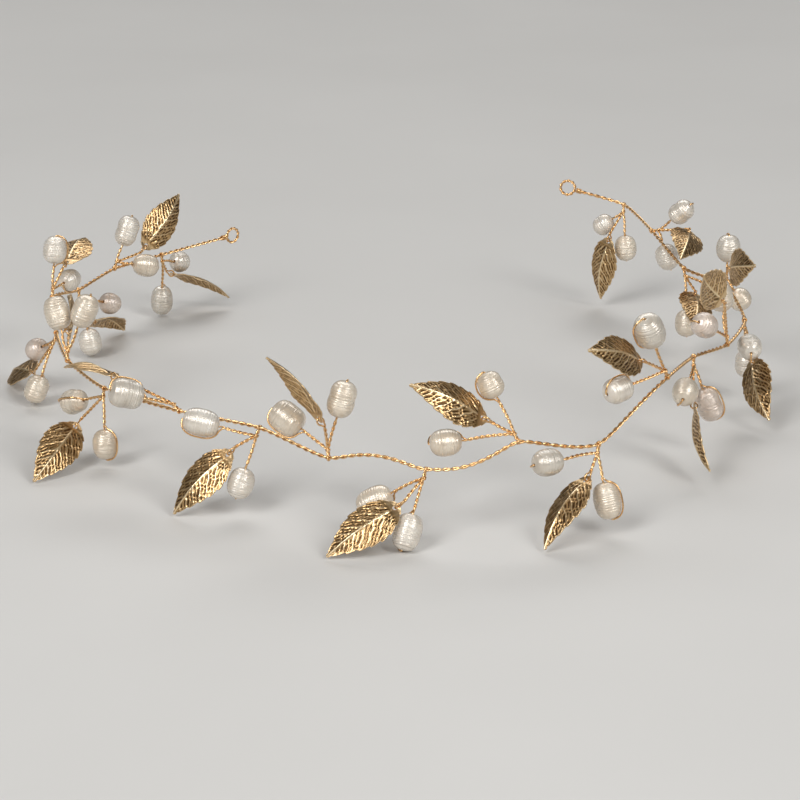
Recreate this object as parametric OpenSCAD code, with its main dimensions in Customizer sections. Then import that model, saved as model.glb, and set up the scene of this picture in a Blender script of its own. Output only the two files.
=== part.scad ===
// Wire hair vine worn as a bridal tiara: a twisted wire band, open at the back,
// that carries sprigs of two rice pearls and one stamped leaf each.
// Millimetres, +Z up.  The origin is under the middle of the object, on the surface
// that the hanging leaf tips stand on.  The open side faces +Y, the front faces -Y.

/* [Vine] */
// Thickness of the two wires of the band, twisted together
vine_d = 0.85; // [0.7:0.05:1.1]
// Straight pieces between two sprigs of the band
vine_steps = 4; // [3:1:5]
// How much the band bends round at each sprig, 0 is a sharp corner
vine_ease = 0.6; // [0.3:0.1:1]

/* [Sprigs] */
// Thickness of a twisted stem
stem_d = 0.8; // [0.6:0.05:0.9]
// Thickness of the knot where the stems of a sprig part
knot_d = 1.1; // [1:0.05:1.3]
// Length of the stalk that a sprig's stems share
stalk_l = 1.8; // [1.5:0.1:2.2]
// How much the stalk leans along and outward with its pearls and leaf
stalk_lean = 0.3; // [0.1:0.1:0.5]
// Thickness of the single wire
wire_d = 0.4; // [0.3:0.02:0.44]

/* [Pearls] */
// Hole through a pearl
pearl_bore_d = 0.8; // [0.7:0.05:1]
// How square the ends of a pearl are, 1 is an ellipse
pearl_round = 0.88; // [0.8:0.02:1]
// Gap between a pearl's side and the wire that comes back over it
wire_gap = 0.5; // [0.5:0.05:0.7]
// Gap between a pearl's ends and that wire
wire_end_gap = 0.17; // [0.15:0.01:0.3]

/* [Leaves] */
// Length of a leaf
leaf_l = 18; // [16:0.5:19]
// Width of a leaf
leaf_w = 8.8; // [7:0.2:9.4]
// Thickness of the stamped sheet
leaf_t = 0.4; // [0.3:0.05:0.5]
// Rise of the blade between its hole and its tip
leaf_bow = 1.8; // [0:0.1:2]
// Slope of each half of the blade down from the midrib
leaf_fold = 0.26; // [0.1:0.02:0.34]
// Hole near the foot of a leaf
leaf_hole_d = 1.2; // [1.1:0.05:1.3]
// Distance from the hole's middle to the foot of the leaf
leaf_foot = 1.1; // [1:0.05:1.15]

/* [End eyes] */
// Clear hole of the eye at each end of the band, for a hairpin or a ribbon
eye_bore_d = 2.8; // [2.4:0.1:3.2]
// Thickness of the wire ring of an eye
eye_wire_d = 0.9; // [0.8:0.05:1]

/* [Hidden] */
$fn = 48;

// The band's way from its left end to its right end: x, y and height.
// The first and the last point are the necks of the end eyes.
ROUTE = [
    [-40, 80, 17.5],
    [-55, 66, 17], [-65, 51, 18], [-72, 37, 17], [-76, 22, 20], [-73, 5, 17],
    [-68, -14, 17], [-58, -32, 17], [-41, -47, 17.5], [-24, -58, 18], [-10, -67, 15],
    [9, -73, 15], [27, -71, 20], [43, -67, 18], [58, -49, 25.5], [66, -26, 22],
    [75, -12, 20], [81, 5, 20], [79, 25, 22], [71, 38, 22], [65, 56, 26],
    [60, 76, 27],
    [48, 77, 30.5]
];

// Stretches of the band that arch up or sag between two points: which one, and by how much
ARCHES = [[10, 2.2], [11, -1.8], [12, -0.3], [13, 0.6]];

// Kinds of pearl: length and diameter
BUTTON = [5.4, 5.4];
OVAL = [6.4, 5.6];
RICE = [7.4, 5.7];
BARREL = [7.0, 6.3];

// One row for each sprig, left to right.  Places are [along the band, outward, up]
// from the sprig's joint with the band: the two pearls' middles and the leaf's hole.
// A leaf's direction with two numbers hangs down until its tip stands on the
// surface, and one with three numbers is free.  The last entry is where it faces.
SPRIGS = [
    [[-8, 2, -4], BUTTON, [-1.5, 2, -12.5], RICE, [-5, 1, -6.5], [-12, -6, -7.5], [0, 1, 3]],
    [[-6, -5, 0], OVAL, [-3, -2, 9], RICE, [-9, -3, 4], [-13, -1, 10], [0, -2, 1]],
    [[-10, -3, -6], BUTTON, [-1, -2, -13], OVAL, [-6, -1, -9.5], [-14, 0], [0, 1, 3]],
    [[-7, -3, 2], BUTTON, [-1, -1, 11], OVAL, [-4, -3, 7], [-16, -2, 1], [0, 0, 1]],
    [[-7, 4, -6], BUTTON, [0, 5, -13], OVAL, [-6, 5.5, -11], [-13, 3], [1, 1, 2]],
    [[-3, 1, 10], RICE, [1, -4, 11], RICE, [-6, -2, 5], [-12, -3, 2], [0, -1, 0]],
    [[-9, 2, -5], OVAL, [1, 1, -12], OVAL, [-5, 4.5, -9], [5, 14], [1, 0, 1]],
    [[-10, 4.5, 2.5], OVAL, [-6, 9, 5], BARREL, [-12, 7, 7], [-16, -2.5, -2.5], [0, -1, 3]],
    [[-10, 6, 1], RICE, [-2, 4, -11], OVAL, [-5, 4, -5.5], [-8, 8], [0, 3, 2]],
    [[-9, 0, 7], BARREL, [2, -2, 12], RICE, [-1, 2.5, 9], [-9, 6, 14], [4, -8, 6]],
    [[-10, 0, -7], RICE, [-3, 5, -11.2], RICE, [-5.5, 4.5, -6.5], [-14, 7.5], [-1, 3, 2]],
    [[-14, -2, 0], OVAL, [-5, -3, 11], BUTTON, [-7, -1, 5], [-17, 0, 9], [0, 3, 4]],
    [[-12, -1, -1.5], OVAL, [0, 3, -11], RICE, [-4, 1, -6.5], [-14, 3], [-3, 0, 1]],
    [[-13, -5, 0.5], OVAL, [-6.5, -1.5, 11.5], BARREL, [-8, -3, 5.5], [-13, -4, 5], [-1, 2, 2]],
    [[-11, 2, -4], OVAL, [1, 3.5, -10.5], RICE, [-5.5, 2.5, -9.5], [-10.5, 7, -8], [-1, -3, 0]],
    [[-10, -2, 7], OVAL, [0, -2, 10.5], OVAL, [-8, 1, 12.5], [-14.5, 0.5, 10], [0, -5, 2]],
    [[-10, 1, -3], OVAL, [2, 1, -11], OVAL, [-6, 2, -8], [-14, 4, -9], [-2, -2, 1]],
    [[-1, 3.5, -3.5], BUTTON, [-1, 0, 9], OVAL, [-5, -1, 5.5], [-15, -1, 5], [-1, -4, 1]],
    [[-10, 4.5, -3.5], BUTTON, [-2, 0, -13], OVAL, [-3, 1.5, -6], [-13, -8, -3], [0, 1, 2]],
    [[-3, 3, -6], OVAL, [-6, 5, 6], OVAL, [-8.5, 6, 1.5], [-13.5, -7.5, -2], [-1, 1.5, 3.5]],
    [[4, -3, -5.5], BUTTON, [-1, 0, -11], OVAL, [1, -4, -9], [3, 1, -15], [0, -1, 0]]
];

// Turn of each pearl's return wire about the pearl, in degrees: one pair for each sprig
WIRE_TURNS = [
    [90, 210], [60, 60], [90, 90], [0, 330], [270, 300], [270, 90], [120, 120],
    [180, 210], [30, 300], [30, 60], [330, 300], [240, 30], [300, 150], [180, 330],
    [330, 180], [270, 300], [0, 150], [60, 180], [60, 30], [60, 90], [270, 60]
];

COUNT = len(SPRIGS);
NUMBERS = [for (i = [1 : COUNT]) str(i < 10 ? "0" : "", i)];

// Sprigs on each stretch of the band
LEFT = [1 : 7];
FRONT = [8 : 14];
RIGHT = [15 : COUNT];

GOLD = [0.85, 0.66, 0.35];
LEAF_GOLD = [0.80, 0.66, 0.42];
PEARL = [0.93, 0.90, 0.84];

bore_r = pearl_bore_d / 2;
eye_r = 0.8;                            // wire eye through a leaf's hole
neck_l = 2 * eye_r + 0.5;               // from the hole's middle to the stem's end
leaf_reach = leaf_l - leaf_foot;        // from the hole's middle to the tip
ring_r = eye_bore_d / 2 + eye_wire_d * 0.4;
tiny = 0.02;

function unit(v) = v / norm(v);

// Level directions at sprig i: along the band, and outward
function along(i) =
    let (d = ROUTE[i + 1] - ROUTE[i - 1]) unit([d.x, d.y, 0]);
function outward(i) = let (t = along(i)) [t.y, -t.x, 0];
function turned(i, p) = p.x * along(i) + p.y * outward(i) + [0, 0, p.z];
function placed(i, p) = ROUTE[i] + turned(i, p);

function pearl_place(i, k) = placed(i, SPRIGS[i - 1][2 * k]);
function pearl_size(i, k) = SPRIGS[i - 1][2 * k + 1];

// The stalk of sprig i leaves the band towards the middle of its pearls and leaf,
// steeper than they lie
function knot_place(i) =
    let (row = SPRIGS[i - 1], middle = (row[0] + row[2] + row[4]) / 3)
    placed(i, stalk_l * unit([middle.x * stalk_lean, middle.y * stalk_lean, middle.z]));

function pearl_way(i, k) = unit(pearl_place(i, k) - knot_place(i));

function leaf_hole_place(i) = placed(i, SPRIGS[i - 1][4]);
function leaf_way(i) =
    let (d = SPRIGS[i - 1][5])
    len(d) == 3 ? unit(turned(i, d))
    : let (drop = leaf_hole_place(i).z - leaf_t / 2, level = sqrt(leaf_reach ^ 2 - drop ^ 2))
        unit(unit(turned(i, [d.x, d.y, 0])) * level - [0, 0, drop]);

// Turns that carry +Z to a direction
function z_turn(d) = [0, acos(d.z), atan2(d.y, d.x)];

// Turn about the leaf's length that makes it face the way its row says
function leaf_roll(i) =
    let (
        d = leaf_way(i),
        f = turned(i, SPRIGS[i - 1][6]),
        across = unit([-d.y, d.x, 0]),
        face = cross(d, across)
    )
    atan2(-f * across, f * face);

module rod(a, b, d) {
    v = b - a;
    translate(a) rotate(z_turn(unit(v))) cylinder(d = d, h = norm(v));
}

// ---- band ----

// Cubic through the route's points, eased at each of them
function slope(i) =
    i == 0 ? (ROUTE[1] - ROUTE[0]) * vine_ease
    : i == len(ROUTE) - 1 ? (ROUTE[i] - ROUTE[i - 1]) * vine_ease
    : (ROUTE[i + 1] - ROUTE[i - 1]) / 2 * vine_ease;
function arch(i) =
    let (found = search(i, ARCHES))
    len(found) == 0 ? 0 : ARCHES[found[0]][1];
function vine_at(i, u) =
    let (p = ROUTE[i], q = ROUTE[i + 1])
    [0, 0, 16 * arch(i) * (u * (1 - u)) ^ 2]
    + (2 * u ^ 3 - 3 * u ^ 2 + 1) * p + (u ^ 3 - 2 * u ^ 2 + u) * slope(i)
    + (3 * u ^ 2 - 2 * u ^ 3) * q + (u ^ 3 - u ^ 2) * slope(i + 1);
VINE_PATH = concat(
    [for (i = [0 : len(ROUTE) - 2], k = [0 : vine_steps - 1]) vine_at(i, k / vine_steps)],
    [ROUTE[len(ROUTE) - 1]]
);

// A round tube along a path that never runs straight up
module tube(path, d, sides) {
    last = len(path) - 1;
    ahead = [for (i = [0 : last]) unit(path[min(i + 1, last)] - path[max(i - 1, 0)])];
    points = [
        for (i = [0 : last])
            let (across = unit(cross(ahead[i], [0, 0, 1])), up = cross(across, ahead[i]))
            for (k = [0 : sides - 1])
                path[i] + d / 2 * (cos(360 * k / sides) * across + sin(360 * k / sides) * up)
    ];
    walls = [
        for (i = [0 : last - 1], k = [0 : sides - 1])
            let (a = i * sides + k, b = i * sides + (k + 1) % sides)
            [a, a + sides, b + sides, b]
    ];
    first_end = [for (k = [0 : sides - 1]) k];
    last_end = [for (k = [sides - 1 : -1 : 0]) last * sides + k];
    polyhedron(points, concat(walls, [first_end, last_end]));
}

module vine_wire() {
    color(GOLD) tube(VINE_PATH, vine_d, 8);
}

// Ring of an end eye: its hole is a true cylinder, its axis is level and square to the band
module end_eye(neck, from) {
    d = unit(neck - from);
    level = unit([d.x, d.y, 0]);
    middle = neck + d * (ring_r + eye_wire_d / 2 - tiny);
    color(GOLD)
        translate(middle) rotate([0, 0, atan2(level.y, level.x)]) rotate([90, 0, 0])
            rotate_extrude()
                intersection() {
                    translate([ring_r, 0]) circle(d = eye_wire_d);
                    translate([eye_bore_d / 2, -eye_wire_d]) square([eye_wire_d, 2 * eye_wire_d]);
                }
}
module end_eye_left() {
    end_eye(ROUTE[0], ROUTE[1]);
}
module end_eye_right() {
    end_eye(ROUTE[COUNT + 1], ROUTE[COUNT]);
}

// ---- sprigs ----

// Half the length of the wire through a pearl, to the middle of its bend at the end
function wire_half(size) = size[0] / 2 + wire_d / 2 + wire_end_gap;

// Stalk and three stems of sprig i: a pearl's stem goes on through it as a single wire
module stems(i) {
    knot = knot_place(i);
    rod(ROUTE[i] + unit(knot - ROUTE[i]) * vine_d / 2, knot, stem_d);
    translate(knot) sphere(d = knot_d);
    for (k = [0, 1]) {
        way = pearl_way(i, k);
        size = pearl_size(i, k);
        middle = pearl_place(i, k);
        rod(knot, middle - way * (size[0] / 2 + tiny), stem_d);
        rod(middle - way * wire_half(size), middle + way * wire_half(size), wire_d);
    }
    rod(knot, leaf_hole_place(i) - leaf_way(i) * neck_l, stem_d);
}

// A pearl: a stubby egg of revolution with its drilled hole along Z
module pearl(size) {
    a = size[0] / 2;
    r = size[1] / 2;
    outline = [
        for (q = [-90 : 10 : 90])
            [r * cos(q) ^ pearl_round, a * sign(q) * abs(sin(q)) ^ pearl_round]
    ];
    round_part = [for (p = outline) if (p.x > bore_r + tiny) p];
    top = round_part[len(round_part) - 1].y;
    rotate_extrude()
        polygon(concat([[bore_r, -top]], round_part, [[bore_r, top]]));
}
module sprig_pearls(i) {
    color(PEARL)
        for (k = [0, 1])
            translate(pearl_place(i, k)) rotate(z_turn(pearl_way(i, k)))
                pearl(pearl_size(i, k));
}

// The wire that comes back over the side of a pearl, whose hole lies along Z
module pearl_wire(size) {
    a = wire_half(size);
    b = size[1] / 2 + wire_d / 2 + wire_gap;
    bend_r = (a ^ 2 + b ^ 2) / (2 * b);
    sweep = 2 * acos((bend_r - b) / bend_r);
    translate([b - bend_r, 0, 0]) rotate([90, 0, 0]) rotate(-sweep / 2)
        rotate_extrude(angle = sweep) translate([bend_r, 0]) circle(d = wire_d);
}
module pearl_wires(i) {
    for (k = [0, 1])
        translate(pearl_place(i, k)) rotate(z_turn(pearl_way(i, k))) rotate(WIRE_TURNS[i - 1][k])
            pearl_wire(pearl_size(i, k));
}

// Places a leaf's own frame: hole at the origin, tip along +X, front face up
module on_leaf(i) {
    d = leaf_way(i);
    translate(leaf_hole_place(i))
        rotate([0, -asin(d.z), atan2(d.y, d.x)]) rotate([leaf_roll(i), 0, 0])
            children();
}

// Blade: half width and height of the middle surface at a distance u (0 to 1) from the foot
function leaf_half(u) =
    max(u < 0.5 ? 0.55 : 0.12, leaf_w / 2 * sin(180 * u ^ 0.75) ^ (0.85 + 0.35 * u));
function leaf_height(x, y) =
    let (grown = min(1, max(0, (x - 1) / 4)))
    leaf_bow * sin(180 * max(0, x) / leaf_reach) - leaf_fold * abs(y) * grown;
module blade() {
    rows = 16;
    cols = 4;
    grid = [
        for (i = [0 : rows])
            let (u = (i / rows) ^ 1.4, x = u * leaf_l - leaf_foot, w = leaf_half(u))
            for (j = [-cols / 2 : cols / 2])
                let (y = w * 2 * j / cols)
                [x, y, leaf_height(x, y)]
    ];
    n = len(grid);
    wide = cols + 1;
    points = concat(
        [for (p = grid) p + [0, 0, leaf_t / 2]],
        [for (p = grid) p - [0, 0, leaf_t / 2]]
    );
    front = [
        for (i = [0 : rows - 1], j = [0 : cols - 1])
            let (a = i * wide + j, b = a + wide)
            each (j < cols / 2 ? [[b + 1, a + 1, a], [b, b + 1, a]] : [[b, a + 1, a], [b, b + 1, a + 1]])
    ];
    back = [for (f = front) [n + f[2], n + f[1], n + f[0]]];
    rim = concat(
        [for (j = [0 : cols - 1]) j],
        [for (i = [0 : rows - 1]) i * wide + cols],
        [for (j = [cols : -1 : 1]) rows * wide + j],
        [for (i = [rows : -1 : 1]) i * wide]
    );
    edge = [
        for (k = [0 : len(rim) - 1])
            let (a = rim[k], b = rim[(k + 1) % len(rim)])
            each [[n + b, n + a, a], [b, n + b, a]]
    ];
    polyhedron(points, concat(front, back, edge));
}
module sprig_leaf(i) {
    color(LEAF_GOLD)
        on_leaf(i)
            difference() {
                blade();
                cylinder(d = leaf_hole_d, h = 4 * leaf_t, center = true);
            }
}

// Wire eye that holds a leaf: through its hole and round its foot
module leaf_eye(i) {
    on_leaf(i)
        translate([-eye_r, 0, 0]) rotate([90, 0, 0])
            rotate_extrude() translate([eye_r, 0]) circle(d = wire_d);
}

module stems_left() { color(GOLD) for (i = LEFT) stems(i); }
module stems_front() { color(GOLD) for (i = FRONT) stems(i); }
module stems_right() { color(GOLD) for (i = RIGHT) stems(i); }
module pearl_wires_left() { color(GOLD) for (i = LEFT) pearl_wires(i); }
module pearl_wires_front() { color(GOLD) for (i = FRONT) pearl_wires(i); }
module pearl_wires_right() { color(GOLD) for (i = RIGHT) pearl_wires(i); }
module leaf_eyes_left() { color(GOLD) for (i = LEFT) leaf_eye(i); }
module leaf_eyes_front() { color(GOLD) for (i = FRONT) leaf_eye(i); }
module leaf_eyes_right() { color(GOLD) for (i = RIGHT) leaf_eye(i); }

vine_wire();
end_eye_left();
end_eye_right();
stems_left();
stems_front();
stems_right();
pearl_wires_left();
pearl_wires_front();
pearl_wires_right();
leaf_eyes_left();
leaf_eyes_front();
leaf_eyes_right();
for (i = [1 : COUNT])
    sprig_pearls(i);
for (i = [1 : COUNT])
    sprig_leaf(i);
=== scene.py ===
"""Looks of a wire hair vine: twisted gold wire that carries rice pearls and stamped leaves."""
import math

import bpy
import numpy as np
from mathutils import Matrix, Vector


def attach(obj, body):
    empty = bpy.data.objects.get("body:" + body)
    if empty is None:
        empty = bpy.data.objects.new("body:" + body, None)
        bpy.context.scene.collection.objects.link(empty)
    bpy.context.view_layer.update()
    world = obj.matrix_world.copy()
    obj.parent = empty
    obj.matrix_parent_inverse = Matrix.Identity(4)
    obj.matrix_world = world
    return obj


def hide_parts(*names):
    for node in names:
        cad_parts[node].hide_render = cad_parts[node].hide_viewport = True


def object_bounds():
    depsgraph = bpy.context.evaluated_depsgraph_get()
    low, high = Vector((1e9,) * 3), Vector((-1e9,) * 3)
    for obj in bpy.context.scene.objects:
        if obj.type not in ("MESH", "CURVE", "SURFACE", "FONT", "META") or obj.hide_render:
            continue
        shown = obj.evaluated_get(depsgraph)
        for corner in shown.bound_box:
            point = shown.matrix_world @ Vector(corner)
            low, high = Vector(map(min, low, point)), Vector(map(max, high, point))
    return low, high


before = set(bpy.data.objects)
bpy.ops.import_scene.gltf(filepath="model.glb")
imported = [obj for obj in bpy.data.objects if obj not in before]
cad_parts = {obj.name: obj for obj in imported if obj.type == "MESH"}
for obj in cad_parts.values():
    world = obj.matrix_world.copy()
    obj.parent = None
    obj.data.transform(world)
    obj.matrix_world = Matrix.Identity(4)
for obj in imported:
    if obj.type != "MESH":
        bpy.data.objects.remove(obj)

CAD_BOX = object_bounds()
MM = 0.001              # in the scene's metres

# ---- the design's own numbers, in millimetres, as in the CAD source ----

# The band's way: first and last the necks of its end eyes, and between them each sprig's foot
ROUTE = np.array([
    [-40, 80, 17.5],
    [-55, 66, 17], [-65, 51, 18], [-72, 37, 17], [-76, 22, 20], [-73, 5, 17],
    [-68, -14, 17], [-58, -32, 17], [-41, -47, 17.5], [-24, -58, 18], [-10, -67, 15],
    [9, -73, 15], [27, -71, 20], [43, -67, 18], [58, -49, 25.5], [66, -26, 22],
    [75, -12, 20], [81, 5, 20], [79, 25, 22], [71, 38, 22], [65, 56, 26],
    [60, 76, 27],
    [48, 77, 30.5],
])
# Rise of the band halfway between a sprig and the next one
ARCHES = {10: 2.2, 11: -1.8, 12: -0.3, 13: 0.6}
VINE_EASE = 0.6         # how smoothly the band passes a sprig: 0 is a corner, 1 a full curve

# Kinds of pearl: length and diameter
BUTTON = (5.4, 5.4)
OVAL = (6.4, 5.6)
RICE = (7.4, 5.7)
BARREL = (7.0, 6.3)

# One row for each sprig: pearl, kind, pearl, kind, leaf hole, leaf direction, leaf face. A place
# counts along the band, outward and up from the sprig's foot. A leaf direction of two numbers is
# that of a leaf whose tip rests on the table.
SPRIGS = [
    [[-8, 2, -4], BUTTON, [-1.5, 2, -12.5], RICE, [-5, 1, -6.5], [-12, -6, -7.5], [0, 1, 3]],
    [[-6, -5, 0], OVAL, [-3, -2, 9], RICE, [-9, -3, 4], [-13, -1, 10], [0, -2, 1]],
    [[-10, -3, -6], BUTTON, [-1, -2, -13], OVAL, [-6, -1, -9.5], [-14, 0], [0, 1, 3]],
    [[-7, -3, 2], BUTTON, [-1, -1, 11], OVAL, [-4, -3, 7], [-16, -2, 1], [0, 0, 1]],
    [[-7, 4, -6], BUTTON, [0, 5, -13], OVAL, [-6, 5.5, -11], [-13, 3], [1, 1, 2]],
    [[-3, 1, 10], RICE, [1, -4, 11], RICE, [-6, -2, 5], [-12, -3, 2], [0, -1, 0]],
    [[-9, 2, -5], OVAL, [1, 1, -12], OVAL, [-5, 4.5, -9], [5, 14], [1, 0, 1]],
    [[-10, 4.5, 2.5], OVAL, [-6, 9, 5], BARREL, [-12, 7, 7], [-16, -2.5, -2.5], [0, -1, 3]],
    [[-10, 6, 1], RICE, [-2, 4, -11], OVAL, [-5, 4, -5.5], [-8, 8], [0, 3, 2]],
    [[-9, 0, 7], BARREL, [2, -2, 12], RICE, [-1, 2.5, 9], [-9, 6, 14], [4, -8, 6]],
    [[-10, 0, -7], RICE, [-3, 5, -11.2], RICE, [-5.5, 4.5, -6.5], [-14, 7.5], [-1, 3, 2]],
    [[-14, -2, 0], OVAL, [-5, -3, 11], BUTTON, [-7, -1, 5], [-17, 0, 9], [0, 3, 4]],
    [[-12, -1, -1.5], OVAL, [0, 3, -11], RICE, [-4, 1, -6.5], [-14, 3], [-3, 0, 1]],
    [[-13, -5, 0.5], OVAL, [-6.5, -1.5, 11.5], BARREL, [-8, -3, 5.5], [-13, -4, 5], [-1, 2, 2]],
    [[-11, 2, -4], OVAL, [1, 3.5, -10.5], RICE, [-5.5, 2.5, -9.5], [-10.5, 7, -8], [-1, -3, 0]],
    [[-10, -2, 7], OVAL, [0, -2, 10.5], OVAL, [-8, 1, 12.5], [-14.5, 0.5, 10], [0, -5, 2]],
    [[-10, 1, -3], OVAL, [2, 1, -11], OVAL, [-6, 2, -8], [-14, 4, -9], [-2, -2, 1]],
    [[-1, 3.5, -3.5], BUTTON, [-1, 0, 9], OVAL, [-5, -1, 5.5], [-15, -1, 5], [-1, -4, 1]],
    [[-10, 4.5, -3.5], BUTTON, [-2, 0, -13], OVAL, [-3, 1.5, -6], [-13, -8, -3], [0, 1, 2]],
    [[-3, 3, -6], OVAL, [-6, 5, 6], OVAL, [-8.5, 6, 1.5], [-13.5, -7.5, -2], [-1, 1.5, 3.5]],
    [[4, -3, -5.5], BUTTON, [-1, 0, -11], OVAL, [1, -4, -9], [3, 1, -15], [0, -1, 0]],
]
# Turn of each pearl's return wire about the pearl, in degrees: one pair for each sprig
WIRE_TURNS = [
    [90, 210], [60, 60], [90, 90], [0, 330], [270, 300], [270, 90], [120, 120],
    [180, 210], [30, 300], [30, 60], [330, 300], [240, 30], [300, 150], [180, 330],
    [330, 180], [270, 300], [0, 150], [60, 180], [60, 30], [60, 90], [270, 60],
]
SPRIG_NUMBERS = range(1, len(SPRIGS) + 1)
LEFT_LAST = 7           # sprigs up to this one are left of the band's front
FRONT_LAST = 14

STALK_L = 1.8
STALK_LEAN = 0.3        # share of its sprig's sideways lean that a stalk takes
LEAF_L = 18.0
LEAF_W = 8.8
LEAF_T = 0.4            # thickness of the CAD leaf
LEAF_BOW = 1.8          # rise of the blade between its hole and its tip
LEAF_FOLD = 0.26        # fall of the blade for each millimetre out from its midrib
LEAF_HOLE_R = 0.5
LEAF_FOOT = 1.1         # from the hole's middle to the foot
LEAF_REACH = LEAF_L - LEAF_FOOT
EYE_BORE_R = 1.4
EYE_WIRE_D = 0.9
EYE_R = EYE_BORE_R + EYE_WIRE_D * 0.4   # middle line of the wire
LOOP_R = 0.8            # loop of wire through a leaf's hole
NECK_L = 2 * LOOP_R + 0.5

# ---- sizes that only the looks need, in millimetres ----

BAND_STRAND_R = 0.21
STEM_STRAND_R = 0.185
STALK_STRAND_R = STEM_STRAND_R + 0.02
EYE_STRAND_R = EYE_WIRE_D / 4 - 0.03
# Length of one full turn of the two wires round each other
BAND_PITCH = 3.5
STEM_PITCH = 2.3
STALK_PITCH = 1.9
EYE_PITCH = 2.2
# Wire wound round a joint: how many turns, their radius, the wire's own radius
BAND_WRAP = (1.6, 0.46, 0.17)
KNOT_WRAP = (1.4, 0.40, 0.15)
NECK_WRAP = (3.5, 0.50, 0.17)
WRAP_PITCH = 2.1        # distance between two of those turns, in radii of the wire
WRAP_POINTS = 18        # points in one of those turns

WIRE_SIDES = 8
STEP = 0.22             # distance between two rings of points along a wire
LOOP_STEP = 0.18        # the same for the tighter wire of a leaf
SHEET_T = 0.22          # thickness of a leaf's sheet
FULLNESS = {BUTTON: 0.92, OVAL: 0.84, RICE: 0.76, BARREL: 0.68}  # lower is squarer

# ---- where things are ----

def unit(v):
    v = np.asarray(v, float)
    return v / np.linalg.norm(v)


def along(i):
    """Level direction of the band where it passes sprig i."""
    d = ROUTE[i + 1] - ROUTE[i - 1]
    return unit([d[0], d[1], 0])


def outward(i):
    t = along(i)
    return np.array([t[1], -t[0], 0])


def turned(i, p):
    """A step along the band, outward and up at sprig i, in the tiara's own axes."""
    return p[0] * along(i) + p[1] * outward(i) + np.array([0, 0, p[2]])


def placed(i, p):
    return ROUTE[i] + turned(i, p)


def knot_place(i):
    """Where the stalk parts into the three stems."""
    row = SPRIGS[i - 1]
    middle = (np.array(row[0]) + np.array(row[2]) + np.array(row[4])) / 3
    lean = [middle[0] * STALK_LEAN, middle[1] * STALK_LEAN, middle[2]]
    return placed(i, STALK_L * unit(lean))


def pearl_place(i, k):
    return placed(i, SPRIGS[i - 1][2 * k])


def pearl_size(i, k):
    return SPRIGS[i - 1][2 * k + 1]


def leaf_hole_place(i):
    return placed(i, SPRIGS[i - 1][4])


def leaf_way(i):
    """Direction from the leaf's hole to its tip."""
    d = SPRIGS[i - 1][5]
    if len(d) == 3:
        return unit(turned(i, d))
    drop = leaf_hole_place(i)[2] - LEAF_T / 2
    level = math.sqrt(LEAF_REACH ** 2 - drop ** 2)
    return unit(unit(turned(i, [d[0], d[1], 0])) * level - np.array([0, 0, drop]))


def leaf_face(i):
    """Direction that the leaf's veined side looks in, square to its length."""
    way = leaf_way(i)
    face = turned(i, SPRIGS[i - 1][6])
    return unit(face - (face @ way) * way)


def axes_from(z):
    """Rows of a matrix: the X, Y and Z of something whose own Z lies along z."""
    tilt = math.acos(z[2])
    turn = math.atan2(z[1], z[0])
    x = [math.cos(tilt) * math.cos(turn), math.cos(tilt) * math.sin(turn), -math.sin(tilt)]
    y = [-math.sin(turn), math.cos(turn), 0]
    return np.array([x, y, z])


def vine_point(i, u):
    """Place on the band between route points i and i + 1, with u from 0 to 1."""
    last = len(ROUTE) - 1

    def slope(k):
        if k == 0:
            return (ROUTE[1] - ROUTE[0]) * VINE_EASE
        if k == last:
            return (ROUTE[k] - ROUTE[k - 1]) * VINE_EASE
        return (ROUTE[k + 1] - ROUTE[k - 1]) / 2 * VINE_EASE

    point = (2 * u ** 3 - 3 * u ** 2 + 1) * ROUTE[i] + (u ** 3 - 2 * u ** 2 + u) * slope(i)
    point = point + (3 * u ** 2 - 2 * u ** 3) * ROUTE[i + 1] + (u ** 3 - u ** 2) * slope(i + 1)
    rise = 16 * (u * (1 - u)) ** 2      # 0 at both ends and 1 halfway
    return point + np.array([0, 0, ARCHES.get(i, 0) * rise])


# ---- mesh making ----

class Shape:
    """Collects the vertices and four-sided faces of one piece, in millimetres."""

    def __init__(self):
        self.verts = []
        self.faces = []
        self.count = 0

    def add(self, verts, faces):
        self.verts.append(verts)
        self.faces.append(np.asarray(faces) + self.count)
        self.count += len(verts)

    def piece(self, name, look, **fields):
        """Makes the object. A field gives each vertex a number that the material look reads."""
        verts = np.vstack(self.verts) * MM
        faces = np.vstack(self.faces)
        mesh = bpy.data.meshes.new(name)
        mesh.from_pydata(verts.tolist(), [], faces.tolist())
        mesh.shade_smooth()
        mesh.materials.append(look)
        for field, values in fields.items():
            layer = mesh.attributes.new(field, "FLOAT", "POINT")
            layer.data.foreach_set("value", values.astype(np.float32))
        obj = bpy.data.objects.new(name, mesh)
        bpy.context.scene.collection.objects.link(obj)
        return obj


def resampled(path, step=STEP):
    """The same path in even steps."""
    path = np.asarray(path, float)
    length = np.concatenate([[0], np.cumsum(np.linalg.norm(np.diff(path, axis=0), axis=1))])
    marks = np.linspace(0, length[-1], max(3, int(length[-1] / step) + 1))
    return np.stack([np.interp(marks, length, path[:, k]) for k in range(3)], 1)


def smoothed(path, times=1):
    """The path with its corners rounded a little and its ends kept."""
    for _ in range(times):
        inner = (path[:-2] + 2 * path[1:-1] + path[2:]) / 4
        path = np.vstack([path[:1], inner, path[-1:]])
    return path


ANY_ACROSS = [0.13, 0.21, 1.0]      # where a frame's first way across starts from


def carried_frame(path, first=None):
    """At every point of a path, the way ahead and two ways across that don't twist along it."""
    ahead = np.gradient(path, axis=0)
    ahead /= np.linalg.norm(ahead, axis=1)[:, None]
    across = np.array(ANY_ACROSS if first is None else first)
    rows = []
    for t in ahead:
        across = unit(across - (across @ t) * t)
        rows.append(across)
    rows = np.array(rows)
    return ahead, rows, np.cross(ahead, rows)


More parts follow.
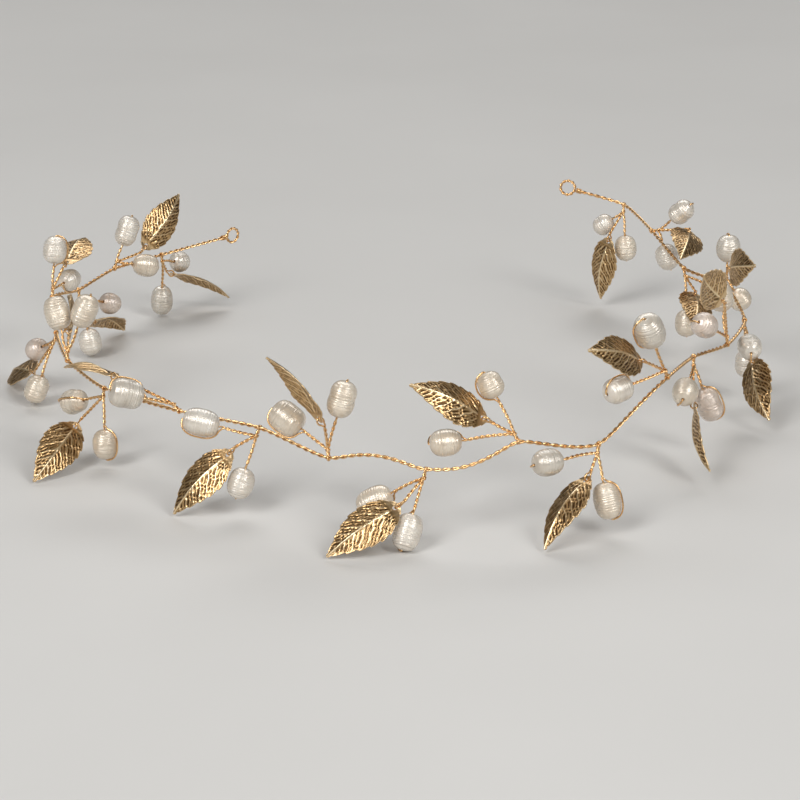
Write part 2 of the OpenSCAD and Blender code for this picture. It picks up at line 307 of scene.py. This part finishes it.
def add_wire(shape, path, radius):
    """A round wire along a path, closed at both ends."""
    _, normal, side = carried_frame(path)
    turn = (np.arange(WIRE_SIDES) * 2 * math.pi / WIRE_SIDES)[None, :, None]
    ring = np.cos(turn) * normal[:, None] + np.sin(turn) * side[:, None]
    verts = (path[:, None] + radius * ring).reshape(-1, 3)
    start = np.arange(len(path) - 1)[:, None] * WIRE_SIDES
    k = np.arange(WIRE_SIDES)
    after = (k + 1) % WIRE_SIDES
    ahead = start + WIRE_SIDES
    walls = np.stack([start + k, start + after, ahead + after, ahead + k], 2)
    strips = np.arange(WIRE_SIDES // 2 - 1)
    far = WIRE_SIDES - 1 - strips
    cap = np.stack([strips, far, far - 1, strips + 1], 1)
    end = cap[:, ::-1] + (len(path) - 1) * WIRE_SIDES
    shape.add(verts, np.vstack([walls.reshape(-1, 4), cap, end]))


def two_strands(path, radius, pitch, first=None):
    """Middle lines of two wires twisted round a path. The first of them ends on the side first."""
    path = resampled(path)
    _, normal, side = carried_frame(path, first)
    length = np.linalg.norm(np.diff(path, axis=0), axis=1).sum()
    turn = 2 * math.pi * np.linspace(1, 0, len(path))[:, None] * length / pitch
    offset = radius * (np.cos(turn) * normal + np.sin(turn) * side)
    return path + offset, path - offset


def ridge(distance, width):
    """1 at no distance, falling softly to 0 over a few widths."""
    return np.exp(-(distance / width) ** 2)


def bowed(a, b, bow, points=16):
    """A path from a to b that bow carries aside in its middle."""
    u = np.linspace(0, 1, points)[:, None]
    return a + (b - a) * u + bow * np.sin(math.pi * u)


def wrap(shape, middle, way, turns, radius, wire_r):
    """A few turns of wire wound round a joint."""
    x, y, z = axes_from(unit(way))
    turn = np.linspace(0, 2 * math.pi * turns, int(WRAP_POINTS * turns))[:, None]
    rise = (turn / turn[-1] - 0.5) * turns * wire_r * WRAP_PITCH
    path = middle + radius * (np.cos(turn) * x + np.sin(turn) * y) + rise * z
    add_wire(shape, path, wire_r)


# ---- materials ----

def material(name):
    """A new material, its node tree and its shader."""
    mat = bpy.data.materials.new(name)
    mat.use_nodes = True
    return mat, mat.node_tree, mat.node_tree.nodes["Principled BSDF"]


def make(tree, kind, **values):
    """A shader node with some of its sockets, or else its settings, given by name."""
    node = tree.nodes.new(kind)
    for key, value in values.items():
        if key in node.inputs:
            node.inputs[key].default_value = value
        else:
            setattr(node, key, value)
    return node


def ramp(tree, source, stops):
    """Colours by a value: each stop is the value and its colour."""
    node = tree.nodes.new("ShaderNodeValToRGB")
    for n, (place, colour) in enumerate(stops):
        stop = node.color_ramp.elements[n] if n < 2 else node.color_ramp.elements.new(place)
        stop.position = place
        stop.color = (*colour, 1)
    tree.links.new(source, node.inputs["Fac"])
    return node.outputs["Color"]


def spread(tree, source, low, high):
    """Stretches a value of 0 to 1 over low to high."""
    node = make(tree, "ShaderNodeMapRange")
    node.inputs["To Min"].default_value = low
    node.inputs["To Max"].default_value = high
    tree.links.new(source, node.inputs["Value"])
    return node.outputs["Result"]


def bump(tree, height, strength, distance, normal=None):
    """A normal that follows a height, on top of another normal if there is one."""
    node = make(tree, "ShaderNodeBump", Strength=strength, Distance=distance)
    tree.links.new(height, node.inputs["Height"])
    if normal is not None:
        tree.links.new(normal, node.inputs["Normal"])
    return node.outputs["Normal"]


def noise(tree, coords, scale, detail=3.0):
    """Cloudy noise of 0 to 1 at the given coordinates."""
    node = make(tree, "ShaderNodeTexNoise", Scale=scale, Detail=detail)
    tree.links.new(coords, node.inputs["Vector"])
    return node.outputs["Fac"]


def gold_wire_material():
    """Drawn wire: small changes of tone and gloss, and a fine grain."""
    mat, tree, bsdf = material("gold_wire")
    coords = make(tree, "ShaderNodeTexCoord").outputs["Object"]
    patches = noise(tree, coords, scale=260)
    colour = ramp(tree, patches, [(0.3, (0.72, 0.43, 0.19)), (0.7, (0.90, 0.62, 0.33))])
    tree.links.new(colour, bsdf.inputs["Base Color"])
    gloss = spread(tree, noise(tree, coords, scale=900), low=0.16, high=0.34)
    tree.links.new(gloss, bsdf.inputs["Roughness"])
    grain = noise(tree, coords, scale=4200, detail=2.0)
    skin = bump(tree, grain, strength=0.25, distance=0.04 * MM)
    tree.links.new(skin, bsdf.inputs["Normal"])
    bsdf.inputs["Metallic"].default_value = 1.0
    return mat


def leaf_material():
    """Stamped sheet: a painted highlight on the veins, painted shade in the hollows, and pebbled
    all over.
    """
    mat, tree, bsdf = material("gold_leaf")
    coords = make(tree, "ShaderNodeTexCoord").outputs["Object"]
    relief = make(tree, "ShaderNodeAttribute", attribute_name="relief").outputs["Fac"]
    # Colour by relief height: painted shade in the hollows, plain gold on the slopes, a painted
    # highlight on the midrib and veins
    painted_hollow_shade, slope, painted_crest_highlight = (0.13, 0.07, 0.03), (0.64, 0.42, 0.20), (1.0, 0.82, 0.54)
    painted_shade_and_highlight = ramp(tree, relief, [(0.05, painted_hollow_shade), (0.42, slope), (0.75, painted_crest_highlight)])
    patches = noise(tree, coords, scale=340, detail=4.0)
    tone = ramp(tree, patches, [(0.3, (0.82, 0.78, 0.72)), (0.7, (1.0, 1.0, 1.0))])
    mix = make(tree, "ShaderNodeMix", data_type="RGBA", blend_type="MULTIPLY")
    factor, first, second = mix.inputs[0], mix.inputs[6], mix.inputs[7]
    factor.default_value = 1.0
    tree.links.new(painted_shade_and_highlight, first)
    tree.links.new(tone, second)
    mixed = mix.outputs[2]
    tree.links.new(mixed, bsdf.inputs["Base Color"])
    gloss = spread(tree, noise(tree, coords, scale=1300), low=0.25, high=0.42)
    tree.links.new(gloss, bsdf.inputs["Roughness"])
    cells = make(tree, "ShaderNodeTexVoronoi", Scale=1500.0, Randomness=0.8, feature="SMOOTH_F1")
    tree.links.new(coords, cells.inputs["Vector"])
    pebbles = bump(tree, cells.outputs["Distance"], strength=0.55, distance=0.16 * MM)
    grain = noise(tree, coords, scale=5200, detail=2.0)
    skin = bump(tree, grain, strength=0.2, distance=0.04 * MM, normal=pebbles)
    tree.links.new(skin, bsdf.inputs["Normal"])
    bsdf.inputs["Metallic"].default_value = 1.0
    return mat


def pearl_material(name, dark, light, shift):
    """Nacre: a soft body colour with fine rings along the pearl's length and a satin skin."""
    mat, tree, bsdf = material(name)
    coords = make(tree, "ShaderNodeTexCoord").outputs["Object"]
    moved = make(tree, "ShaderNodeMapping", Location=(shift, 0, shift))
    tree.links.new(coords, moved.inputs["Vector"])
    cloud = noise(tree, moved.outputs["Vector"], scale=330)
    tree.links.new(ramp(tree, cloud, [(0.3, dark), (0.7, light)]), bsdf.inputs["Base Color"])
    height = make(tree, "ShaderNodeAttribute", attribute_name="height").outputs["Fac"]
    rings = make(tree, "ShaderNodeTexNoise", noise_dimensions="1D", Scale=2.8, Detail=3.0)
    tree.links.new(height, rings.inputs["W"])
    ringed = bump(tree, rings.outputs["Fac"], strength=0.6, distance=0.4 * MM)
    grain = noise(tree, coords, scale=1300)
    skin = bump(tree, grain, strength=0.25, distance=0.1 * MM, normal=ringed)
    tree.links.new(skin, bsdf.inputs["Normal"])
    tree.links.new(spread(tree, cloud, low=0.20, high=0.32), bsdf.inputs["Roughness"])
    bsdf.inputs["Metallic"].default_value = 0.30
    bsdf.inputs["Subsurface Weight"].default_value = 0.12
    bsdf.inputs["Subsurface Radius"].default_value = (1.0, 0.8, 0.6)
    bsdf.inputs["Subsurface Scale"].default_value = 0.6 * MM
    bsdf.inputs["Coat Weight"].default_value = 0.45
    bsdf.inputs["Coat Roughness"].default_value = 0.14
    bsdf.inputs["Specular IOR Level"].default_value = 0.7
    return mat


def floor_material():
    """A plain pale surface with hardly any change of tone."""
    mat, tree, bsdf = material("pale_floor")
    coords = make(tree, "ShaderNodeTexCoord").outputs["Object"]
    patches = noise(tree, coords, scale=6, detail=4.0)
    tone = ramp(tree, patches, [(0.3, (0.59, 0.58, 0.56)), (0.7, (0.63, 0.62, 0.60))])
    tree.links.new(tone, bsdf.inputs["Base Color"])
    bsdf.inputs["Roughness"].default_value = 0.55
    return mat


GOLD = gold_wire_material()
LEAF = leaf_material()
# Each with its dark and its light tone, and where its clouds start in the noise
NACRES = [
    pearl_material("pearl_ivory", (0.66, 0.56, 0.44), (0.80, 0.72, 0.60), 0.010),
    pearl_material("pearl_white", (0.67, 0.60, 0.51), (0.81, 0.76, 0.68), 0.023),
    pearl_material("pearl_grey", (0.58, 0.52, 0.44), (0.72, 0.67, 0.59), 0.037),
    pearl_material("pearl_rose", (0.66, 0.55, 0.46), (0.79, 0.69, 0.61), 0.051),
]
NACRE_SHARES = [0.42, 0.36, 0.15, 0.07]     # share of the pearls that have each nacre


# ---- band and end eyes ----

BAND_POINTS = 20        # points between two sprigs
BAND_NEAR = 0.04        # the band's direction at a sprig is taken this share before and after
EYE_POINTS = 90
EYE_OVERLAP = 0.02      # the ring sinks this much into its neck
EYE_WIDENING = 0.02     # the twisted ring is this much wider than the CAD one
NECK_WRAP_BACK = 0.7    # from the neck's end back to the middle of its winding


def groups(i):
    """The three CAD nodes that a sprig's wires stand in for."""
    side = "left" if i <= LEFT_LAST else "front" if i <= FRONT_LAST else "right"
    return ["stems_" + side, "pearl_wires_" + side, "leaf_eyes_" + side]


def build_band():
    """Two wires twisted together all the way, and wound with thinner wire at every sprig."""
    shape = Shape()
    stretches = range(len(ROUTE) - 1)
    path = [vine_point(i, n / BAND_POINTS) for i in stretches for n in range(BAND_POINTS)]
    path.append(ROUTE[-1])
    for strand in two_strands(smoothed(np.array(path), 2), BAND_STRAND_R, BAND_PITCH):
        add_wire(shape, strand, BAND_STRAND_R)
    for i in SPRIG_NUMBERS:
        way = vine_point(i, BAND_NEAR) - vine_point(i - 1, 1 - BAND_NEAR)
        wrap(shape, ROUTE[i], way, *BAND_WRAP)
    band = shape.piece("band_wires", GOLD)
    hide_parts("vine_wire")
    return band


def build_eye(name, neck, before):
    """The band's two wires bent round into a ring, and wound round its neck."""
    shape = Shape()
    way = unit(neck - before)
    level = unit([way[0], way[1], 0])
    up = np.array([0, 0, 1.0])
    middle = neck + way * (EYE_R + EYE_WIRE_D / 2 - EYE_OVERLAP)
    turn = math.pi + np.linspace(0, 2 * math.pi, EYE_POINTS)[:, None]
    loop = middle + (EYE_R + EYE_WIDENING) * (np.cos(turn) * level + np.sin(turn) * up)
    for strand in two_strands(loop, EYE_STRAND_R, EYE_PITCH):
        add_wire(shape, strand, EYE_STRAND_R)
    wrap(shape, neck - way * NECK_WRAP_BACK, way, *NECK_WRAP)
    eye = shape.piece(name + "_ring", GOLD)
    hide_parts(name)
    return eye


# ---- sprig wires ----

WIRE_SINK = 0.01        # a wire lies this much into a pearl's skin
ARC_FROM, ARC_TO = -78, 83      # the wire's way over a pearl, in degrees from the pearl's middle
ARC_POINTS = 30
HOOK_R = 0.32           # bend at the pearl's far end, where the wire turns into its hole
HOOK_FROM, HOOK_TO = 10, 90
HOOK_POINTS = 6
FOOT_GAP = 0.75         # from the end of a stem's twist to its pearl
IN_DEPTH = 0.4          # the wire is straight from this far inside a pearl's far end
OUT_GAP = 0.1           # to this far outside its near end
PEARL_BOW_ACROSS = 0.25     # most that a pearl's stem bows across the side of its wire
PEARL_BOW_ALONG = 0.2       # and towards or away from that side
LEAF_BOW_MOST = 0.15    # most that a leaf's stem bows
LOOP_TURN = 150         # a loop runs from minus to plus this many degrees round a leaf's hole
LOOP_POINTS = 24
LOOP_H = 0.72           # half height of that loop
STALK_POINTS = 8
WIRE_SEED = 100


def outline(half, wide, fullness, q):
    """Distance from the axis, and height, of a pearl's side at the angles q."""
    r = wide * np.cos(q).clip(0) ** fullness
    return r, half * np.sign(q) * np.abs(np.sin(q)) ** fullness


def arc_round(size):
    """Way of the wire over a pearl's side, as (distance from the axis, height), foot to far end."""
    gap = STEM_STRAND_R - WIRE_SINK
    half = size[0] / 2 + gap
    wide = size[1] / 2 + gap
    q = np.radians(np.linspace(ARC_FROM, ARC_TO, ARC_POINTS))
    points = np.stack(outline(half, wide, FULLNESS[size], q), 1)
    turn = np.radians(np.linspace(HOOK_FROM, HOOK_TO, HOOK_POINTS))
    hook = np.stack([HOOK_R * (1 - np.sin(turn)), half - HOOK_R * (1 - np.cos(turn))], 1)
    return np.vstack([points, hook])


def build_pearl_wire(shape, i, k, rng):
    """One wire: out along the stem, over the pearl's side, back through the pearl and the stem."""
    knot = knot_place(i)
    middle = pearl_place(i, k)
    size = pearl_size(i, k)
    way = unit(middle - knot)
    x, y, _ = axes_from(way)
    angle = math.radians(WIRE_TURNS[i - 1][k])
    side = math.cos(angle) * x + math.sin(angle) * y
    half = size[0] / 2
    foot = middle - way * (half + FOOT_GAP)
    bow = np.cross(way, side) * rng.uniform(-PEARL_BOW_ACROSS, PEARL_BOW_ACROSS)
    bow = bow + side * rng.uniform(-PEARL_BOW_ALONG, PEARL_BOW_ALONG)
    out, back = two_strands(bowed(knot, foot, bow), STEM_STRAND_R, STEM_PITCH, side)
    arc = [middle + r * side + h * way for r, h in arc_round(size)]
    through = [middle + way * (half - IN_DEPTH), middle - way * (half + OUT_GAP)]
    path = np.vstack([out, arc, through, back[::-1]])
    add_wire(shape, smoothed(resampled(path)), STEM_STRAND_R)


def build_leaf_wire(shape, i, rng):
    """One wire: out along the stem, through the leaf's hole, and back."""
    knot = knot_place(i)
    hole = leaf_hole_place(i)
    way = leaf_way(i)
    face = leaf_face(i)
    neck = hole - way * NECK_L
    ahead = unit(neck - knot)
    first = unit(face - (face @ ahead) * ahead)
    bow = np.cross(ahead, first) * rng.uniform(-LEAF_BOW_MOST, LEAF_BOW_MOST)
    out, back = two_strands(bowed(knot, neck, bow), STEM_STRAND_R, STEM_PITCH, first)
    turn = np.radians(np.linspace(-LOOP_TURN, LOOP_TURN, LOOP_POINTS))[:, None]
    loop = hole + way * LOOP_R * (np.cos(turn) - 1) - face * LOOP_H * np.sin(turn)
    path = np.vstack([out, loop, back[::-1]])
    add_wire(shape, smoothed(resampled(path, LOOP_STEP)), STEM_STRAND_R)


def build_sprig_wires(i):
    """The stalk, the knot that it parts at, and the wires of the two pearls and the leaf."""
    rng = np.random.default_rng(WIRE_SEED + i)
    shape = Shape()
    knot = knot_place(i)
    stalk = ROUTE[i] + (knot - ROUTE[i]) * np.linspace(0, 1, STALK_POINTS)[:, None]
    for strand in two_strands(stalk, STALK_STRAND_R, STALK_PITCH):
        add_wire(shape, strand, STALK_STRAND_R)
    wrap(shape, knot, knot - ROUTE[i], *KNOT_WRAP)
    build_pearl_wire(shape, i, 0, rng)
    build_pearl_wire(shape, i, 1, rng)
    build_leaf_wire(shape, i, rng)
    piece = shape.piece(f"sprig_{i:02d}_wires", GOLD)
    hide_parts(*groups(i))
    return piece


# ---- pearls ----

PEARL_ROWS = 84
PEARL_SIDES = 48
PEARL_BORE_R = 0.28
BORE_DEPTH = 0.9        # from a pearl's end to the ring of points deep in its hole
BORE_LIP = 0.12         # height of the hole's bevelled edge
BORE_EDGE = 0.1         # and its least width
RING_COUNTS = [1, 3, 5, 8]      # growth rings round a pearl
RING_GAP = 0.55
RING_JITTER = 0.12
RING_DEPTHS = (0.03, 0.085)
RING_WIDTHS = (0.11, 0.17)
RINGS_MIDDLES = (-0.6, 0.7)     # where the rings' middle may lie, in half lengths of the pearl
WAISTS = [0, 0, 0.2]    # depth of a pearl's waist
WAIST_W = 0.9
WAIST_MIDDLES = (-0.3, 0.3)
TAPER_MOST = 0.06
LOBES = ((2, 0.010), (3, 0.007), (5, 0.003))    # flats round a pearl: how many, how deep
LOBE_TURN = 6           # most that each set of flats is turned, in radians
HEIGHT_SHIFT = 20       # most that a pearl's fine rings are shifted in their noise
PEARL_SEED = 500


def pearl_side(size, rng):
    """Distance from the axis, and height, of a pearl's side with its rings and its waist."""
    half, wide = size[0] / 2, size[1] / 2
    q = np.linspace(-math.pi / 2, math.pi / 2, PEARL_ROWS)
    r, h = outline(half, wide, FULLNESS[size], q)
    rings = rng.choice(RING_COUNTS)
    first = rng.uniform(*RINGS_MIDDLES) * half - RING_GAP * rings / 2
    dip = np.zeros(PEARL_ROWS)
    for n in range(rings):
        level = first + RING_GAP * n + rng.uniform(-RING_JITTER, RING_JITTER)
        depth = rng.uniform(*RING_DEPTHS)
        dip += depth * ridge(h - level, rng.uniform(*RING_WIDTHS))
    waist = rng.choice(WAISTS)
    dip += waist * ridge(h - rng.uniform(*WAIST_MIDDLES) * half, WAIST_W)
    taper = rng.uniform(0, TAPER_MOST)
    thin_end = rng.choice([-0.5, 0.5])
    r = r * (1 - taper * (0.5 + thin_end * h / half) ** 2) - dip * r / wide
    return np.maximum(r, 0), h


def pearl_line(size, rng):
    """The side and the hole's two ends, as (distance from the axis, height), bottom to top."""
    r, h = pearl_side(size, rng)
    keep = r > PEARL_BORE_R + BORE_EDGE
    low, high = h[keep][0], h[keep][-1]
    inner = [[PEARL_BORE_R, low + BORE_DEPTH], [PEARL_BORE_R, low + BORE_LIP]]
    outer = [[PEARL_BORE_R, high - BORE_LIP], [PEARL_BORE_R, high - BORE_DEPTH]]
    return np.vstack([inner, np.stack([r[keep], h[keep]], 1), outer])


def build_pearl(i, k):
    """A drilled rice pearl: a body of revolution with growth rings round it and a few flats."""
    rng = np.random.default_rng(PEARL_SEED + 2 * i + k)
    line = pearl_line(pearl_size(i, k), rng)
    turn = np.arange(PEARL_SIDES) * 2 * math.pi / PEARL_SIDES
    lobes = 1.0
    for count, depth in LOBES:
        lobes = lobes - depth * (1 + np.cos(count * turn + rng.uniform(0, LOBE_TURN)))
    radius = line[:, :1] * np.where(line[:, :1] > PEARL_BORE_R, lobes, 1)
    height = np.repeat(line[:, 1:], PEARL_SIDES, 1)
    own = np.stack([radius * np.cos(turn), radius * np.sin(turn), height], 2).reshape(-1, 3)
    start = np.arange(len(line))[:, None] * PEARL_SIDES
    after = np.roll(start, -1, 0)
    a = np.arange(PEARL_SIDES)
    b = (a + 1) % PEARL_SIDES
    faces = np.stack([start + a, start + b, after + b, after + a], 2).reshape(-1, 4)
    middle = pearl_place(i, k)
    shape = Shape()
    shape.add(own @ axes_from(unit(middle - knot_place(i))) + middle, faces)
    nacre = NACRES[rng.choice(len(NACRES), p=NACRE_SHARES)]
    shift = HEIGHT_SHIFT * rng.random()
    pearl = shape.piece(f"sprig_{i:02d}_pearl_{'ab'[k]}", nacre, height=own[:, 2] + shift)
    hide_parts(f"sprig_{i:02d}_pearls")
    return pearl


# ---- leaves ----

LEAF_ROWS = 116
LEAF_COLS = 56
FOOT_CLOSER = 1.08      # above 1, rows lie closer at the foot
RIM_CLOSER = 0.92       # below 1, columns lie closer at the rim
TIP_TRIM = 0.5          # the blunt tip ends this much short of the CAD leaf's
TIP_HALF_W = 0.45
TIP_SHARE = 0.06        # share of the length over which the tip is rounded
TIP_ROUND = 0.45        # how far its corners are drawn back
TEETH = 8
TOOTH_CUT = 0.38
TOOTH_CLOSER = 0.9      # below 1, teeth lie closer at the foot
TOOTH_START = 0.35      # share of a tooth that the foot starts with
TOOTH_HOOK = 1.6        # above 1, a tooth's back is hollow
TOOTH_FULL_W = 2.5      # where the half width is less than this, teeth are cut less
FOLD_FROM = 1           # the fold starts this far from the hole
FOLD_OVER = 4           # and takes this far to grow
HOLE_BAND = 0.3         # corners this close to the hole are moved onto its round edge

VEIN_GAP = 2.3          # distance between two side veins along the midrib
VEIN_START = 0.6
VEIN_LEAN = 0.95        # how far forward a side vein runs for each millimetre out
VEIN_CURVE = 0.07       # and how much more for that distance squared
VEIN_STAGGER = 0.2      # the veins of one half start this share of a gap nearer the foot
VEIN_FADE = 0.3         # share of its height that a vein loses on its way to the rim
# Waves that all lines of the pattern waver by: height, and radians per millimetre along and across
WANDER_WAVES = ((0.12, 2.1, 1.3), (0.10, -2.3, 1.7))
SQUARE_TO_VEIN = 0.7    # distance square to a leaning vein, for one along the midrib
BAR_GAP = 0.85          # distance between two cross bars of the net between side veins
BAR_WANDER = 1.6        # how much more the bars waver
# Heights of the pattern above the sheet, and widths
RIB_H, RIB_W = 0.28, 0.24
VEIN_H, VEIN_W = 0.24, 0.20
NET_H, LADDER_W, BAR_W = 0.15, 0.15, 0.16
RIM_H, RIM_W = 0.16, 0.24
PATTERN_FROM = 0.8      # the pattern starts this far from the hole and grows over as much
RELIEF_SHARE = 0.8      # share of the pattern's height that the sheet is bent by
BACK_LEVEL = 0.1        # relief level that the back's painted shade and highlight start from


def leaf_half(u):
    """Half width at a distance u, 0 to 1, from the foot, before the teeth are cut."""
    swell = LEAF_W / 2 * np.sin(math.pi * u ** 0.75).clip(0) ** (0.85 + 0.1 * u)
    return np.maximum(TIP_HALF_W, swell)


def toothed_half(u):
    """Half width with the teeth cut, each deepest at its foot."""
    tooth = (TEETH * u ** TOOTH_CLOSER + TOOTH_START) % 1.0
    whole = leaf_half(u)
    return whole - TOOTH_CUT * (1 - tooth) ** TOOTH_HOOK * (whole / TOOTH_FULL_W).clip(0, 1)


def leaf_relief(x, y, half):
    """Height of the stamped pattern: midrib, side veins that curve forward, a net, a raised rim."""
    off = np.abs(y)
    grown = ((x - PATTERN_FROM) / PATTERN_FROM).clip(0, 1)
    wander = sum(h * np.sin(p * x + q * y) for h, p, q in WANDER_WAVES)
    along_rib = x - VEIN_START - VEIN_LEAN * off - VEIN_CURVE * off ** 2 + wander
    across = along_rib / VEIN_GAP + np.where(y > 0, VEIN_STAGGER, 0)
    part = across - np.floor(across)
    from_vein = np.minimum(part, 1 - part) * VEIN_GAP * SQUARE_TO_VEIN
    from_middle = (part - 0.5) * VEIN_GAP * SQUARE_TO_VEIN
    veins = VEIN_H * ridge(from_vein, VEIN_W) * (1 - VEIN_FADE * off / half)
    ladder = NET_H * ridge(from_middle, LADDER_W)
    bar = (off + BAR_WANDER * wander) / BAR_GAP + 0.5 * (np.floor(2 * across) % 2)
    bars = NET_H * ridge((bar - np.floor(bar) - 0.5) * BAR_GAP, BAR_W)
    net = np.maximum(veins, np.maximum(ladder, bars)) * grown
    rib = RIB_H * ridge(off, RIB_W) * grown
    rim = RIM_H * ridge(half - off, RIM_W)
    foot = NET_H * (1 - grown)
    return np.maximum(np.maximum(rib, net), np.maximum(rim, foot))


def leaf_grid():
    """A leaf's upper side as a grid, foot to tip and rim to rim: places, and the relief there."""
    u = np.linspace(0, 1, LEAF_ROWS + 1)[:, None] ** FOOT_CLOSER
    v = np.linspace(-1, 1, LEAF_COLS + 1)[None, :]
    half = toothed_half(u)
    y = half * np.sign(v) * np.abs(v) ** RIM_CLOSER
    at_tip = ((u - 1 + TIP_SHARE) / TIP_SHARE).clip(0, 1)
    x = u * (LEAF_L - TIP_TRIM) - LEAF_FOOT - TIP_ROUND * at_tip * (y / half) ** 2
    fold = LEAF_FOLD * np.abs(y) * ((x - FOLD_FROM) / FOLD_OVER).clip(0, 1)
    bow = LEAF_BOW * np.sin(math.pi * x.clip(0) / LEAF_REACH) - fold
    relief = leaf_relief(x, y, half)
    top = bow - LEAF_T / 2 + SHEET_T + RELIEF_SHARE * relief
    return np.stack([x, y, top], 2), relief


def edges_on_one_side(quads):
    """Those sides of the four-sided faces that no other face shares."""
    edges = np.stack([quads, np.roll(quads, -1, 1)], 2).reshape(-1, 2)
    _, which, count = np.unique(np.sort(edges, 1), axis=0, return_inverse=True, return_counts=True)
    return edges[count[which.reshape(-1)] == 1]


def leaf_blade():
    """Points, faces and relief of one leaf: hole at the origin, tip along +X, face up."""
    points, relief = leaf_grid()
    index = np.arange(relief.size).reshape(relief.shape)
    points = points.reshape(-1, 3)
    quads = np.stack([index[:-1, :-1], index[1:, :-1], index[1:, 1:], index[:-1, 1:]], 2)
    quads = quads.reshape(-1, 4)
    middles = points[quads, :2].mean(1)
    quads = quads[np.linalg.norm(middles, axis=1) > LEAF_HOLE_R]
    open_edges = edges_on_one_side(quads)
    away = np.linalg.norm(points[:, :2], axis=1)
    at_hole = [p for p in np.unique(open_edges) if away[p] < LEAF_HOLE_R + HOLE_BAND]
    points[at_hole, :2] *= (LEAF_HOLE_R / away[at_hole])[:, None]
    used = np.unique(quads)
    number = np.zeros(len(points), int)
    number[used] = np.arange(len(used))
    high = points[used]
    low = high - [0, 0, SHEET_T]
    front = number[quads]
    a, b = number[open_edges[:, 0]], number[open_edges[:, 1]]
    wall = np.stack([b, a, a + len(used), b + len(used)], 1)
    faces = np.vstack([front, front[:, ::-1] + len(used), wall])
    # The relief, as a share of the midrib's height, picks the painted shade and highlight of the
    # upper side and, raised a little, of the back
    level = relief.reshape(-1)[used] / RIB_H
    back = BACK_LEVEL + (1 - BACK_LEVEL) * level
    return np.vstack([high, low]), faces, np.concatenate([level, back])


def build_leaf(i, blade):
    """One leaf: every leaf is the same stamping, laid by its sprig's hole, direction and face."""
    points, faces, level = blade
    way = leaf_way(i)
    face = leaf_face(i)
    shape = Shape()
    shape.add(points @ np.array([way, np.cross(face, way), face]) + leaf_hole_place(i), faces)
    leaf = shape.piece(f"leaf_{i:02d}_blade", LEAF, relief=level)
    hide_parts(f"sprig_{i:02d}_leaf")
    return leaf


# ---- stage, light and camera, in metres ----

FLOOR_REACH = 2.5
# Name, place, width and height, power
SOFTBOXES = [
    ("key_left", (-0.76, -1.00, 0.98), (0.60, 0.80), 14.5),
    ("key_right", (0.84, -0.92, 0.90), (0.50, 0.80), 11.0),
    ("fill_front", (0.0, -1.60, 0.80), (1.4, 0.7), 3.0),
    ("back_top", (0.0, 1.10, 1.20), (1.6, 0.6), 9.5),
]
LIGHT_AIM = (0, 0, 0.02)
WORLD_COLOUR = (0.90, 0.88, 0.85, 1)
WORLD_STRENGTH = 0.14
CAMERA_PLACE = (0.004, -0.513, 0.1895)
CAMERA_DOWN = 20        # degrees that the camera looks down
CAMERA_LENS = 109.7     # millimetres, on a 36 mm wide sensor
CAMERA_SENSOR = 36


def build_stage():
    """The floor, level with the lowest point of the CAD box."""
    r = FLOOR_REACH
    mesh = bpy.data.meshes.new("floor")
    mesh.from_pydata([(-r, -r, 0), (r, -r, 0), (r, r, 0), (-r, r, 0)], [], [(0, 1, 2, 3)])
    mesh.materials.append(floor_material())
    floor = bpy.data.objects.new("floor", mesh)
    floor.location.z = CAD_BOX[0].z
    bpy.context.scene.collection.objects.link(floor)


def add_softbox(name, where, size, power):
    light = bpy.data.lights.new(name, "AREA")
    light.shape = "RECTANGLE"
    light.size, light.size_y = size
    light.energy = power
    obj = bpy.data.objects.new(name, light)
    obj.location = where
    aim = Vector(LIGHT_AIM) - Vector(where)
    obj.rotation_euler = aim.to_track_quat("-Z", "Y").to_euler()
    bpy.context.scene.collection.objects.link(obj)


def build_light():
    for name, where, size, power in SOFTBOXES:
        add_softbox(name, where, size, power)
    world = bpy.data.worlds.new("studio")
    world.use_nodes = True
    background = world.node_tree.nodes["Background"]
    background.inputs["Color"].default_value = WORLD_COLOUR
    background.inputs["Strength"].default_value = WORLD_STRENGTH
    bpy.context.scene.world = world


def build_camera():
    camera = bpy.data.cameras.new("camera")
    camera.lens = CAMERA_LENS
    camera.sensor_width = CAMERA_SENSOR
    obj = bpy.data.objects.new("camera", camera)
    obj.location = CAMERA_PLACE
    obj.rotation_euler = (math.radians(90 - CAMERA_DOWN), 0, 0)
    bpy.context.scene.collection.objects.link(obj)
    bpy.context.scene.camera = obj
    bpy.context.scene.view_settings.view_transform = "Standard"


build_camera()
build_stage()
build_light()

wires = [
    build_band(),
    build_eye("end_eye_left", ROUTE[0], ROUTE[1]),
    build_eye("end_eye_right", ROUTE[-1], ROUTE[-2]),
]
wires += [build_sprig_wires(i) for i in SPRIG_NUMBERS]
for piece in wires:
    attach(piece, "root")

for i in SPRIG_NUMBERS:
    for k in (0, 1):
        pearl = build_pearl(i, k)
        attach(pearl, "root")

blade = leaf_blade()
for i in SPRIG_NUMBERS:
    leaf = build_leaf(i, blade)
    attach(leaf, f"leaf_{i:02d}")
